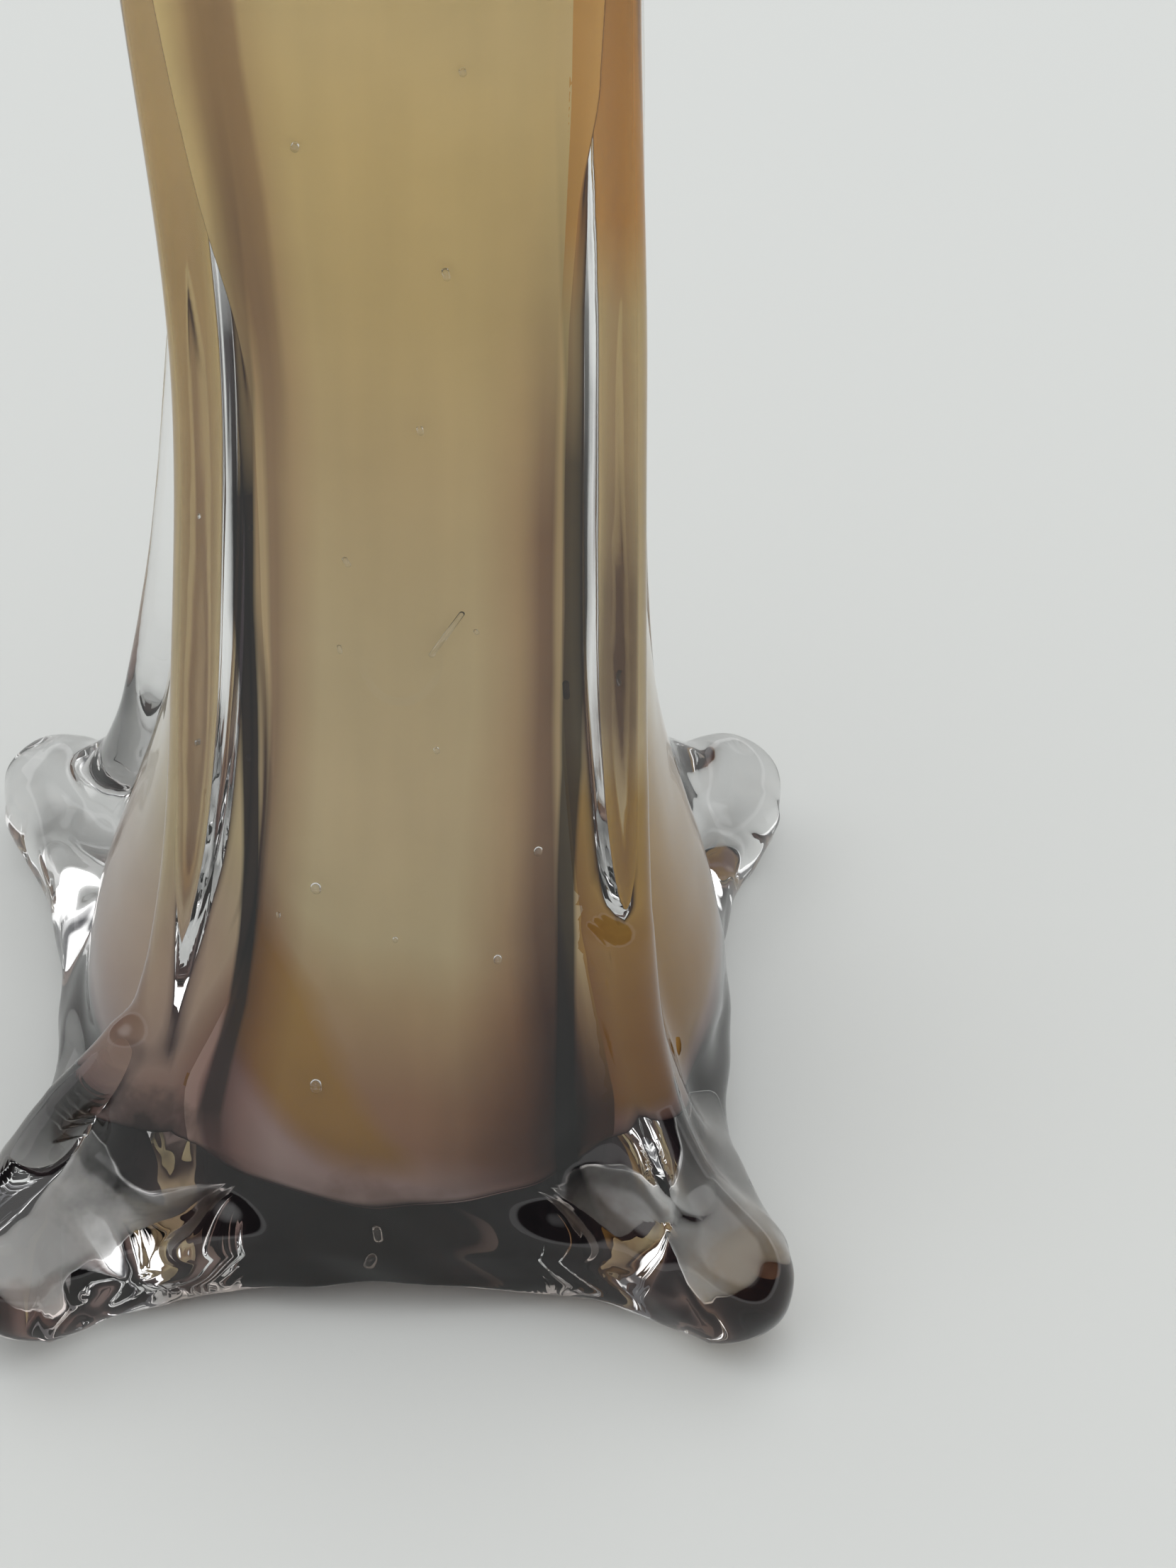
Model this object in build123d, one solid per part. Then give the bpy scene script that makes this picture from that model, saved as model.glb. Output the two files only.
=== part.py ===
from build123d import *
import math
import os

# A cased art glass vase, made as a glassmaker gathers it: an opal core, a thin amethyst layer with
# amber swirls over it, then clear crystal drawn out into four ribs that end in four feet.
# Millimetres, +Z up. The origin is the middle of the four feet, on the surface the vase stands on.
# The front looks along -Y.

# Heights of the whole vase
column_foot_height = 4.0
column_top_height = 306.0
column_station_count = 26
rim_height = 291.0
rib_seat_height = 26.0

# Column: half of its width across two facing panels, the reach of its ribs and its lean to the
# right, each at its height. It spreads like a bell towards the base.
column_heights = [column_foot_height, 14.0, 24.0, 34.0, 46.0, 60.0, 76.0, 104.0, 158.0, 224.0, column_top_height]
panel_halves = [43.0, 45.8, 46.0, 44.3, 40.5, 36.8, 34.3, 32.2, 30.8, 32.5, 39.5]
rib_reaches = [52.0, 56.0, 55.5, 53.0, 50.3, 48.6, 47.0, 45.2, 43.4, 45.4, 53.5]
column_leans = [3.0, 3.0, 3.2, 3.3, 3.6, 4.1, 4.7, 5.4, 6.4, 3.9, 0.5]
panel_bow_shares = [0.085, 0.085, 0.085, 0.075, 0.062, 0.055, 0.055, 0.055, 0.055, 0.055, 0.055]
rib_tip_thicknesses = [10.0, 10.0, 9.0, 7.4, 5.8, 4.8, 4.4, 4.4, 4.4, 4.4, 4.4]
rib_flank_thicknesses = [15.0, 15.0, 14.0, 11.6, 9.0, 7.4, 6.6, 6.4, 6.4, 6.4, 6.4]
rib_root_thicknesses = [23.0, 23.0, 22.0, 19.5, 17.0, 15.4, 14.6, 14.4, 14.4, 14.4, 14.4]

# How much further than the table some ribs reach, from the foot up
rib_extra_heights = [column_foot_height, 18.0, 30.0, 46.0, 60.0, 90.0, 130.0, 190.0, column_top_height]
rib_extras = {
    "front_left": [0.0, 3.0, 3.5, 3.0, 1.0, 0.0, 0.0, 0.0, 0.0],
    "front_right": [0.0, 3.0, 0.5, 0.0, 0.0, 0.0, 0.0, 0.0, 0.0],
    "back_right": [0.0, 0.0, 0.0, 0.0, 0.0, 0.0, 0.0, 0.0, 0.0],
    "back_left": [0.0, 3.0, 6.5, 8.0, 7.5, 6.0, 4.0, 0.0, 0.0],
}

# Opal core: half of its width at each height, rounded like a bowl at the bottom
core_bottom_height = 14.5
core_heights = [core_bottom_height, 24.0, 30.0, 38.0, 46.0, 60.0, 76.0, 104.0, 158.0, 224.0, column_top_height]
core_halves = [41.0, 42.0, 41.6, 39.6, 36.4, 32.6, 30.0, 27.8, 26.4, 28.0, 34.0]
core_corner_shares = [0.98, 0.98, 0.98, 0.96, 0.93, 0.88, 0.85, 0.85, 0.80, 0.62, 0.62]
core_bottom_radius = 10.0
core_wall = 4.2
well_floor_height = 24.0
well_bottom_radius = 12.0
skin_thickness = 0.9
core_station_count = 24

# Clear base between the feet: its hollow sides in front and behind, and its hollow sides at the
# left and right
base_thickness = 18.0
front_side_reach = 45.5
flank_side_reach = 48.0
side_radius = 120.0
base_corner_reach = 72.0
base_corner_radius = 7.0
base_top_radius = 5.0
base_bottom_radius = 6.5
arch_rise = 5.5
arch_half_width = 32.0

# One foot, drawn out of a corner of the base: its reach, height and radius at the root, the bend,
# the thumb and the tip
foot_reaches = [38.0, 52.5, 67.0, 81.4]
foot_heights = [19.0, 14.2, 11.2, 11.0]
foot_radii = [10.6, 9.9, 8.9, 8.1]
foot_tip_radius = 7.8
foot_cut_reach = 50.0

# Rim, scooped between the rib tips
scoop_radius = 90.0

# Amber swirls: each is a slanting band over one side of the core, from its low end to its high end
front_swirl_ends = [(8.0, 8.0), (-28.0, 66.0)]
front_swirl_width = 13.0
side_swirl_ends = [(12.0, 8.0), (-20.0, 72.0)]
side_swirl_width = 18.0
shoulder_swirl_ends = [(-14.0, 170.0), (-26.0, 268.0)]
shoulder_swirl_width = 15.0
swirl_depth_reach = 22.0

overrun = 60.0
parts_folder = "parts"
corners = {"front_left": 225.0, "front_right": 315.0, "back_right": 45.0, "back_left": 135.0}


def smooth_at(height, heights, sizes):
    """A size at any height, on a smooth curve through the sizes given at the heights."""
    last = len(heights) - 1
    height = min(max(height, heights[0]), heights[last])
    low = max(index for index in range(last) if heights[index] <= height)

    def slope(index):
        before, after = max(index - 1, 0), min(index + 1, last)
        return (sizes[after] - sizes[before]) / (heights[after] - heights[before])

    span = heights[low + 1] - heights[low]
    share = (height - heights[low]) / span
    rest = 1 - share
    blend = share * share * (3 - 2 * share)
    bend = slope(low) * share * rest * rest - slope(low + 1) * share * share * rest
    return sizes[low] * (1 - blend) + sizes[low + 1] * blend + span * bend


def even_heights(low, high, count):
    """Evenly spaced heights, both ends included."""
    return [low + (high - low) * index / (count - 1) for index in range(count)]


def lean_at(height):
    """How far the body has leaned to the right at a height."""
    return smooth_at(height, column_heights, column_leans)


def rib_edge(height, name, panel_end, leave):
    """The outline of one rib, from the panel before it to the panel after it."""
    groove_reach_share = 1.075
    flank_share = 0.50
    run_shares = [0.0, 0.115, 0.31, 0.438, 0.5, 0.562, 0.69, 0.885, 1.0]
    reach = smooth_at(height, column_heights, rib_reaches) + smooth_at(height, rib_extra_heights, rib_extras[name])
    tip = smooth_at(height, column_heights, rib_tip_thicknesses)
    flank = smooth_at(height, column_heights, rib_flank_thicknesses)
    root = smooth_at(height, column_heights, rib_root_thicknesses)
    out = Vector(1, 1).normalized()
    across = Vector(1, -1).normalized()
    groove_reach = smooth_at(height, column_heights, panel_halves) * groove_reach_share
    flank_reach = groove_reach + (reach - groove_reach) * flank_share
    half_rib = [
        out * groove_reach + across * (root / 2),
        out * flank_reach + across * (flank / 2),
        out * (reach - tip / 4) + across * (tip * math.cos(math.pi / 6) / 2),
    ]
    swap = [Vector(point.Y, point.X) for point in reversed(half_rib)]
    points = [panel_end, *half_rib, out * reach, *swap, Vector(panel_end.Y, panel_end.X)]
    run = sum((after - before).length for before, after in zip(points, points[1:]))
    tangents = [leave * run, Vector(-leave.Y, -leave.X) * run]
    edge = Edge.make_spline(points, tangents=tangents, parameters=run_shares, scale=False)
    return edge.rotate(Axis.Z, corners[name] - corners["back_right"])


def column_outline(height):
    """One closed plan outline: four bowed panels and four ribs, with a groove at each rib's sides."""
    panel_end_share = 0.50
    panel_half = smooth_at(height, column_heights, panel_halves)
    bow_share = smooth_at(height, column_heights, panel_bow_shares)
    end = Vector(panel_half * (1 - bow_share), panel_half * panel_end_share)
    panel = Edge.make_bezier(Vector(end.X, -end.Y), Vector(2 * panel_half - end.X, 0), end)
    edges = [panel.rotate(Axis.Z, 90 * quarter) for quarter in range(4)]
    edges += [rib_edge(height, name, end, panel % 1) for name in corners]
    return Wire(edges).moved(Location((lean_at(height), 0, height)))


def column():
    """The whole outer form of the body, with its ribs, before the rim is scooped."""
    heights = even_heights(column_foot_height, column_top_height, column_station_count)
    return Solid.make_loft([column_outline(height) for height in heights])


def bowl(bottom, grow, bottom_radius):
    """A closed rounded-square form like the core, every side moved outwards by grow."""
    sections = []
    for height in even_heights(bottom, column_top_height, core_station_count):
        half = smooth_at(height, core_heights, core_halves) + grow
        corner = half * smooth_at(height, core_heights, core_corner_shares)
        outline = RectangleRounded(2 * half, 2 * half, corner)
        sections.append(outline.wire().moved(Location((lean_at(height), 0, height))))
    form = Part() + Solid.make_loft(sections)
    return fillet(form.faces().sort_by(Axis.Z)[0].edges(), bottom_radius)


def base_block():
    """The clear base: a square with hollow sides and blunt corners, rounded above and below."""
    block = Rotation(0, 0, 45) * extrude(
        Rectangle(2 * base_corner_reach, 2 * base_corner_reach), base_thickness
    )
    reaches = [flank_side_reach, front_side_reach] * 2
    for quarter, reach in enumerate(reaches):
        hollow = Cylinder(side_radius, 2 * base_thickness)
        block -= Rotation(0, 0, 90 * quarter) * Pos(reach + side_radius, 0, base_thickness / 2) * hollow
    block = fillet(block.edges().filter_by(Axis.Z), base_corner_radius)
    block = fillet(block.faces().sort_by(Axis.Z)[-1].edges(), base_top_radius)
    return fillet(block.faces().sort_by(Axis.Z)[0].edges(), base_bottom_radius)


def foot(angle):
    """One foot: round sections along a bent line, with a rounded tip."""
    last = len(foot_reaches) - 1
    sections = []
    for index in range(last + 1):
        low, high = max(index - 1, 0), min(index + 1, last)
        run = Vector(foot_reaches[high] - foot_reaches[low], 0, foot_heights[high] - foot_heights[low])
        place = Plane((foot_reaches[index], 0, foot_heights[index]), x_dir=(0, 1, 0), z_dir=run)
        sections.append((place * Circle(foot_radii[index])).wire())
    horn = Part() + Solid.make_loft(sections)
    tip = horn.faces().sort_by(Axis.X)[-1]
    return Rotation(0, 0, angle) * fillet(tip.edges(), foot_tip_radius)


def scoops():
    """The two round scoops that lower the rim between the rib tips."""
    bar = Rotation(0, -90, 0) * Cylinder(scoop_radius, 4 * overrun)
    place = Pos(0, 0, rim_height + scoop_radius)
    return [place * bar, place * Rotation(0, 0, 90) * bar]


def arches():
    """The two low tunnels underneath that leave the vase standing on its four feet."""
    radius = (arch_half_width**2 + arch_rise**2) / (2 * arch_rise)
    tunnel = Pos(0, 0, arch_rise - radius) * Rotation(0, 90, 0) * Cylinder(radius, 4 * overrun)
    return [tunnel, Rotation(0, 0, 90) * tunnel]


def outer_form():
    """Everything that is clear glass outside the amethyst layer, still in one piece and solid."""
    form = Part() + column() + base_block()
    for angle in corners.values():
        form += foot(angle)
    for cut in scoops() + arches():
        form -= cut
    return form


def slab(low, high):
    """All space between two heights."""
    return Pos(0, 0, (low + high) / 2) * Box(4 * overrun, 4 * overrun, high - low)


def rib_space(angle):
    """The space outside the casing at one corner, which follows the body's width and lean."""
    root_share = 1.045
    sections = []
    for height in even_heights(column_foot_height, column_top_height, column_station_count):
        root = smooth_at(height, column_heights, panel_halves) * root_share
        patch = Rotation(0, 0, angle) * Pos(root + overrun / 2, 0) * Rectangle(overrun, overrun)
        sections.append(patch.wire().moved(Location((lean_at(height), 0, height))))
    return Solid.make_loft(sections)


def foot_space(angle):
    """The space beyond the base's cut at one corner."""
    return Rotation(0, 0, angle) * Pos(foot_cut_reach + overrun, 0, 0) * Box(
        2 * overrun, 2 * overrun, 2 * overrun
    )


def swirl_space(ends, width, side_angle):
    """A slanting band that runs in from one side of the body, with round ends."""
    low, high = Vector(*ends[0]), Vector(*ends[1])
    slant = math.degrees(math.atan2(high.Y - low.Y, high.X - low.X))
    middle = (low + high) * 0.5
    band = Pos(middle.X, middle.Y) * Rotation(0, 0, slant) * SlotCenterToCenter((high - low).length, width)
    space = Pos(0, -swirl_depth_reach, 0) * extrude(Plane.XZ * band, overrun)
    return Rotation(0, 0, side_angle) * space


def write(name, shape):
    """One node's file."""
    shape.label = name
    export_step(shape, os.path.join(parts_folder, name + ".step"))
    print(name, len(shape.solids()), "solids", round(shape.volume), "cubic mm")


def main():
    os.makedirs(parts_folder, exist_ok=True)
    form = outer_form()
    core = bowl(core_bottom_height, 0, core_bottom_radius)
    skin_form = bowl(core_bottom_height - skin_thickness, skin_thickness, core_bottom_radius + skin_thickness)
    well = bowl(well_floor_height, -core_wall, well_bottom_radius)
    for scoop in scoops():
        core -= scoop
        skin_form -= scoop
    write("opal_core", core - well)

    skin = skin_form - core
    swirls = {
        "amber_swirl_front": swirl_space(front_swirl_ends, front_swirl_width, 0),
        "amber_swirl_right": swirl_space(side_swirl_ends, side_swirl_width, 90),
        "amber_swirl_shoulder": swirl_space(shoulder_swirl_ends, shoulder_swirl_width, 90),
    }
    for name, space in swirls.items():
        write(name, skin & space)
        skin -= space
    write("amethyst_layer", skin)

    clear = form - skin_form
    lower = clear & slab(-overrun, rib_seat_height)
    upper = clear & slab(rib_seat_height, column_top_height + overrun)
    for name, angle in corners.items():
        write("foot_" + name, lower & foot_space(angle))
        lower -= foot_space(angle)
        write("rib_" + name, upper & rib_space(angle))
        upper -= rib_space(angle)
    write("clear_base", lower)
    write("clear_casing", upper)


main()
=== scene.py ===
# %% [markdown]
# A cased art glass vase. An opaque beige core is covered by a thin mauve gather with amber swirls,
# and then by thick clear glass that was drawn out, while hot, into four ribs and four feet.
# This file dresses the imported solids: it makes one continuous body of clear glass, because the
# real vase has no seams, and puts the coloured gathers inside it.

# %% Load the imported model
import math
import bpy
import numpy as np
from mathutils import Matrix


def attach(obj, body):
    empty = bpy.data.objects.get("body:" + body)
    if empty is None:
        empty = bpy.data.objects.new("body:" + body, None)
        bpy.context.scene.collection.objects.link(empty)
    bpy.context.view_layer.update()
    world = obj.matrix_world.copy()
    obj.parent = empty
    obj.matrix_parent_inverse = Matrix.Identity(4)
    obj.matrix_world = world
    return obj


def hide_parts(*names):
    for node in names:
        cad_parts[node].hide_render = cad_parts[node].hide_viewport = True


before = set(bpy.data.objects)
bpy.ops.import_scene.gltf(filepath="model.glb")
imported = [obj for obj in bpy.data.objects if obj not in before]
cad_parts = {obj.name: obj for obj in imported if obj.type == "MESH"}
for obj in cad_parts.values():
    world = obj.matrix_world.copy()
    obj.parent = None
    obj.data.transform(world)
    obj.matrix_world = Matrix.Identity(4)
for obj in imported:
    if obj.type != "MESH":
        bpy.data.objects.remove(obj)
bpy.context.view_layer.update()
print("packed nodes:", sorted(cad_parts))

# %% [markdown]
# The body changes all the way up, so its sizes are kept as short tables of height against size,
# in millimetres. A curve that never overshoots runs through each table. A plain cubic would
# bulge between the points, which shows at once in clear glass.

# %% Sizes of the body
body_heights = [4, 14, 24, 34, 46, 60, 76, 104, 158, 224, 306]
panel_reach = [46.5, 47.5, 47, 45.5, 42, 38, 35, 32.3, 30.8, 32.5, 39.5]
rib_reach = [56, 58, 56.5, 53.5, 50.5, 48.6, 47, 45.2, 43.4, 45.4, 53.5]
lean_right = [3, 3, 3.2, 3.3, 3.6, 4.1, 4.7, 5.4, 6.4, 3.9, 0.5]
gather_heights = [14.5, 15.2, 17, 20, 24, 30, 38, 46, 60, 76, 104, 158, 190, 224, 306]
gather_reach = [30, 35, 38.5, 41.2, 42.7, 42.6, 40.5, 37.5, 33.3, 30.5, 28, 27, 28.6, 30.4, 37]


def at_height(heights, sizes, height):
    """The size at any height, on a curve through the table that never overshoots."""
    heights, sizes = np.array(heights, float), np.array(sizes, float)
    step, rise = np.diff(heights), np.diff(sizes) / np.diff(heights)
    slope = np.zeros_like(heights)
    for i in range(1, len(heights) - 1):
        if rise[i - 1] * rise[i] > 0:
            a, b = 2 * step[i] + step[i - 1], step[i] + 2 * step[i - 1]
            slope[i] = (a + b) / (a / rise[i - 1] + b / rise[i])
    slope[0], slope[-1] = rise[0], rise[-1]
    height = np.clip(height, heights[0], heights[-1])
    k = np.clip(np.searchsorted(heights, height) - 1, 0, len(step) - 1)
    t = (height - heights[k]) / step[k]
    return (
        (1 + 2 * t) * (1 - t) ** 2 * sizes[k]
        + t * (1 - t) ** 2 * step[k] * slope[k]
        + t * t * (3 - 2 * t) * sizes[k + 1]
        + t * t * (t - 1) * step[k] * slope[k + 1]
    )


def lean_at(z):
    """How far the body has leaned to the right at a height."""
    return at_height(body_heights, lean_right, z)


print("panel to panel at mid height:", 2 * at_height(body_heights, panel_reach, 150.0), "mm")

# %% [markdown]
# Hot glass flows together wherever two parts meet, so nothing on this vase has a sharp inner
# corner. Each part is written as a distance: below zero inside the glass and above zero outside.
# Distances can be melted into each other over a width, which gives that flow for nothing.

# %% Melt two forms together
def melt(a, b, width):
    """The union of two forms, with the corner between them filled over a width."""
    share = np.clip(0.5 + 0.5 * (b - a) / width, 0, 1)
    return b * (1 - share) + a * share - width * share * (1 - share)


# %% The column with its ribs
rib_heights = [4, 14, 24, 34, 46, 60, 76, 306]
rib_edges = [9, 8.5, 7.5, 5.5, 3.6, 2.6, 2.2, 2.2]
rib_roots = [15, 14.5, 13.5, 11, 8.5, 7, 6.2, 6]
rib_melt, rib_from = 5.0, 20.0
panel_roundness = [2.1, 2.1, 2.1, 2.2, 2.4, 2.6, 2.6, 2.6, 2.6, 2.6, 2.6]
# How much further than the back right rib the others reach, because no two match.
extra_heights = [4, 18, 30, 46, 60, 90, 130, 190, 306]
extra_reach = {
    "front_left": [0, 3, 3.5, 3, 1, 0, 0, 0, 0],
    "front_right": [0, 3, 0.5, 0, 0, 0, 0, 0, 0],
    "back_left": [0, 3, 6.5, 8, 7.5, 6, 4, 0, 0],
}


def column_form(x, y, z):
    """A rounded square that carries a thin rib on each corner."""
    x = x - lean_at(z)
    across, deep = np.abs(x), np.abs(y)
    panel = at_height(body_heights, panel_reach, z)
    roundness = at_height(body_heights, panel_roundness, z)
    body = (across**roundness + deep**roundness) ** (1 / roundness) - panel
    crest = at_height(body_heights, rib_reach, z)
    for corner, extra in extra_reach.items():
        here = ((x < 0) == corner.endswith("left")) & ((y < 0) == corner.startswith("front"))
        crest = crest + here * at_height(extra_heights, extra, z)
    out, side = (across + deep) / math.sqrt(2), np.abs(across - deep) / math.sqrt(2)
    edge, root = at_height(rib_heights, rib_edges, z), at_height(rib_heights, rib_roots, z)
    along = np.clip(out, 0, crest - edge)
    taper = np.clip((out - rib_from) / (crest - rib_from), 0, 1)
    rib = np.hypot(side, out - along) - (root + (edge - root) * taper)
    return melt(body, rib, rib_melt)


# %% [markdown]
# The column stands on a low block, and a bar of glass was pulled out of each corner to make a
# foot. Thin ridges show where the ribs were pulled down into the feet, and two low tunnels that
# cross under the base leave the vase standing on the feet alone.

# %% The base and the drawn feet
base_top, base_round, side_curve = 18.0, 6.0, 120.0
front_reach, flank_reach, corner_reach = 45.5, 48.0, 72.0
foot_line = [(38.0, 19.0, 10.6), (52.5, 14.2, 9.9), (67.0, 11.2, 8.9), (73.2, 11.0, 8.1)]
arch_rise, arch_half = 5.5, 32.0
foot_melt, column_foot = 7.0, 8.0


def base_form(x, y, z):
    """A low square block with hollow sides and rounded edges."""
    across, deep = np.abs(x), np.abs(y)
    curve = side_curve + base_round
    front = curve - np.hypot(across, deep - (front_reach - base_round + curve))
    flank = curve - np.hypot(across - (flank_reach - base_round + curve), deep)
    corner = (across + deep) / math.sqrt(2) - (corner_reach - base_round)
    plan = np.maximum(np.maximum(front, flank), corner)
    height = np.maximum(z - (base_top - base_round), base_round + 1.0 - z)
    outside = np.hypot(np.maximum(plan, 0), np.maximum(height, 0))
    return outside + np.minimum(np.maximum(plan, height), 0) - base_round


def rod(points, x, y, z):
    """A round rod that runs through points with their own radii."""
    best = None
    for (xa, ya, za, ra), (xb, yb, zb, rb) in zip(points, points[1:]):
        go_x, go_y, go_z = xb - xa, yb - ya, zb - za
        run = go_x**2 + go_y**2 + go_z**2
        t = np.clip(((x - xa) * go_x + (y - ya) * go_y + (z - za) * go_z) / run, 0, 1)
        gap = np.sqrt((x - xa - t * go_x) ** 2 + (y - ya - t * go_y) ** 2 + (z - za - t * go_z) ** 2)
        gap = gap - (ra + (rb - ra) * t)
        best = gap if best is None else np.minimum(best, gap)
    return best


def foot_form(x, y, z):
    """A round bar that bends from each corner down to its tip, thinner as it goes."""
    out, side = (np.abs(x) + np.abs(y)) / math.sqrt(2), (np.abs(x) - np.abs(y)) / math.sqrt(2)
    return rod([(reach, 0.0, height, radius) for reach, height, radius in foot_line], out, side, z)


# %% The ridges and the marks of the tools
# Each point of a ridge: how far out it is, or how far across and deep, its height and its radius.
front_ridge = [(48.5, 62.0, 2.2), (52.0, 46.0, 2.4), (56.0, 35.5, 2.8), (63.0, 23.5, 3.4), (70.5, 15.5, 5.0)]
back_ridge = [(50.5, 38.0, 2.2), (56.5, 29.0, 3.4), (63.0, 22.5, 3.8), (70.5, 15.5, 5.0)]
left_ridge = [
    (-36.0, -36.5, 45.0, 2.6), (-44.5, -37.0, 33.0, 3.2),
    (-50.5, -38.5, 23.0, 3.8), (-54.0, -43.0, 15.5, 5.0),
]
ridge_melt, far_away = 5.0, 50.0
ripple_depth, crease_depth = 0.3, 0.22


def ridge_form(x, y, z):
    """The raised ridges along the feet. The front left foot has a wider one of its own."""
    corner = 1 / math.sqrt(2)
    ridges = []
    for line in (front_ridge, back_ridge):
        points = [(out * corner, out * corner, height, radius) for out, height, radius in line]
        ridges.append(rod(points, np.abs(x), np.abs(y), z))
    ridges = np.where(y > 0, ridges[1], ridges[0])
    ridges = np.where((x < 0) & (y < 0), far_away, ridges)
    return np.minimum(ridges, rod(left_ridge, x, y, z))


def ripples(x, y, z):
    """Uneven lumps near the feet, left by the tools that pulled the hot glass."""
    lumps = np.sin(0.26 * x + 0.2 * z) * np.sin(0.24 * y - 0.3 * z + 1.3)
    lumps = lumps + 0.35 * np.sin(0.42 * (x + y) + 0.5 * z)
    near_foot = np.clip((np.hypot(x, y) - 34) / 14, 0, 1) * np.clip((34 - z) / 14, 0, 1)
    return ripple_depth * lumps * near_foot


def creases(x, y):
    """Small folds under the two front corners, where the gather was sheared off."""
    fold = np.sin(1.05 * x + 0.9 * np.sin(0.7 * y)) * np.sin(0.85 * y + 1.1 * np.sin(0.45 * x))
    near = np.exp(-(((np.abs(x - 2) - 27) / 6.5) ** 2) - ((y + 33) / 8) ** 2)
    return crease_depth * fold * near


def arch_height(offset):
    """How high a low tunnel under the base is, at a distance from its middle."""
    radius = (arch_half**2 + arch_rise**2) / (2 * arch_rise)
    inside = np.sqrt(np.maximum(radius**2 - offset**2, 0))
    return np.maximum(arch_rise - radius + inside, 0)


def glass_form(x, y, z):
    """The whole outside of the clear glass."""
    form = column_form(x, y, z)
    form = np.where(z < column_foot, np.maximum(form, column_foot - z), form)
    form = melt(form, base_form(x, y, z), foot_melt)
    form = melt(form, foot_form(x, y, z), foot_melt)
    form = melt(form, ridge_form(x, y, z), ridge_melt) + ripples(x, y, z)
    arch = np.maximum(arch_height(x), arch_height(y))
    arch = arch + np.clip(arch, 0, 1) * creases(x, y)
    return np.maximum(form, np.maximum(arch, 0) - z)


print("foot tips reach", round(foot_line[-1][0] + foot_line[-1][2], 1), "mm along the diagonal")

# %% [markdown]
# The surface is found by shooting rays outwards from the axis and stopping where the distance
# is zero. Near the base the rays fan out from one point, so that they meet the feet and the
# underside squarely. Further up they are level. The rays are closer together over the ribs,
# because a coarse edge there shows as broken lines when light bends through it.

# %% Where the rays go
def ray_angles(rib_count=48, panel_count=26, rib_half=10.0):
    """Directions round the axis, denser near each diagonal."""
    panel_a = np.linspace(0, 45 - rib_half, panel_count, endpoint=False)
    rib = np.linspace(45 - rib_half, 45 + rib_half, rib_count, endpoint=False)
    panel_b = np.linspace(45 + rib_half, 90, panel_count, endpoint=False)
    quarter = np.concatenate([panel_a, rib, panel_b])
    return np.radians(np.concatenate([quarter + 90 * turn for turn in range(4)]))


scoop_radius, rim_low, rim_round, rim_reach = 90.0, 291.0, 2.4, 43.0


def rim_height(x, y):
    """The top of the glass: two round scoops leave it higher at the rib tips."""
    def one(offset):
        return rim_low + scoop_radius - np.sqrt(scoop_radius**2 - np.clip(offset, -80, 80) ** 2)
    return np.minimum(one(x), one(y))


around = ray_angles()
fan_height, fan_top, turn_top, straight_from = 11.0, 24.0, 70.0, 72.0
steep_down, steep_up = np.linspace(-89, -12, 60), np.linspace(7.3, fan_top, 60)
fan_tilts = np.concatenate([steep_down, np.linspace(-11.7, 7, 70), steep_up])
level_rows, furthest = 112, 100.0
smallest_step, step_share, longest_look = 0.25, 0.6, 20.0


def ray_rows():
    """For each row of rays: the height of its start and its tilt, row by row round the axis."""
    fan = [(fan_height, tilt) for tilt in fan_tilts]
    turn = np.linspace(0, 1, 41)[1:]
    fan += [(fan_height + (turn_top - fan_height) * t, fan_top * (1 - t)) for t in turn]
    rows = np.array(fan)
    heights = np.repeat(rows[:, :1], len(around), 1)
    tilts = np.repeat(rows[:, 1:], len(around), 1)
    top = rim_height(rim_reach * np.cos(around), rim_reach * np.sin(around)) - rim_round
    for _ in range(6):
        reach = find_surface(top[None, :], np.zeros_like(top)[None, :])
        top = rim_height(reach[0][0], reach[1][0]) - rim_round
    share = np.linspace(0, 1, level_rows)[:, None]
    heights = np.vstack([heights, straight_from + (top[None, :] - straight_from) * share])
    return heights, np.vstack([tilts, np.zeros((len(share), len(around)))])


def find_surface(heights, tilts):
    """Walks each ray inwards to the glass, then halves the last step until it is exact."""
    tilts = np.radians(tilts)
    level, lift = np.cos(tilts), np.sin(tilts)
    plan_x, plan_y = level * np.cos(around), level * np.sin(around)
    reach = np.full(plan_x.shape, furthest)
    for _ in range(400):
        gap = glass_form(reach * plan_x, reach * plan_y, heights + reach * lift)
        step = np.maximum(smallest_step, step_share * np.minimum(gap, longest_look))
        reach = np.where(gap <= 0, reach, np.maximum(reach - step, 0))
        if (gap <= 0).all():
            break
    near, far = reach, reach + 6.0
    for _ in range(24):
        middle = (near + far) / 2
        inside = glass_form(middle * plan_x, middle * plan_y, heights + middle * lift) <= 0
        near, far = np.where(inside, middle, near), np.where(inside, far, middle)
    return near * plan_x, near * plan_y, heights + near * lift


outside = np.stack(find_surface(*ray_rows()), -1)
print("outer surface:", outside.shape[:2], "points, highest", round(float(outside[..., 2].max()), 1), "mm")

# %% [markdown]
# The coloured gathers are one rounded square form inside the clear glass. The clear glass gets
# a pocket a little smaller than that form, so that no air is left between them. Air there
# would shine like a mirror, which a fused vase never does.

# %% The form of the coloured gathers
gather_roundness = [2, 2, 2, 2, 2, 2, 2.05, 2.15, 2.3, 2.4, 2.4, 2.9, 3.7, 4.2, 4.4]
bottom_height = gather_heights[0]
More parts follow.
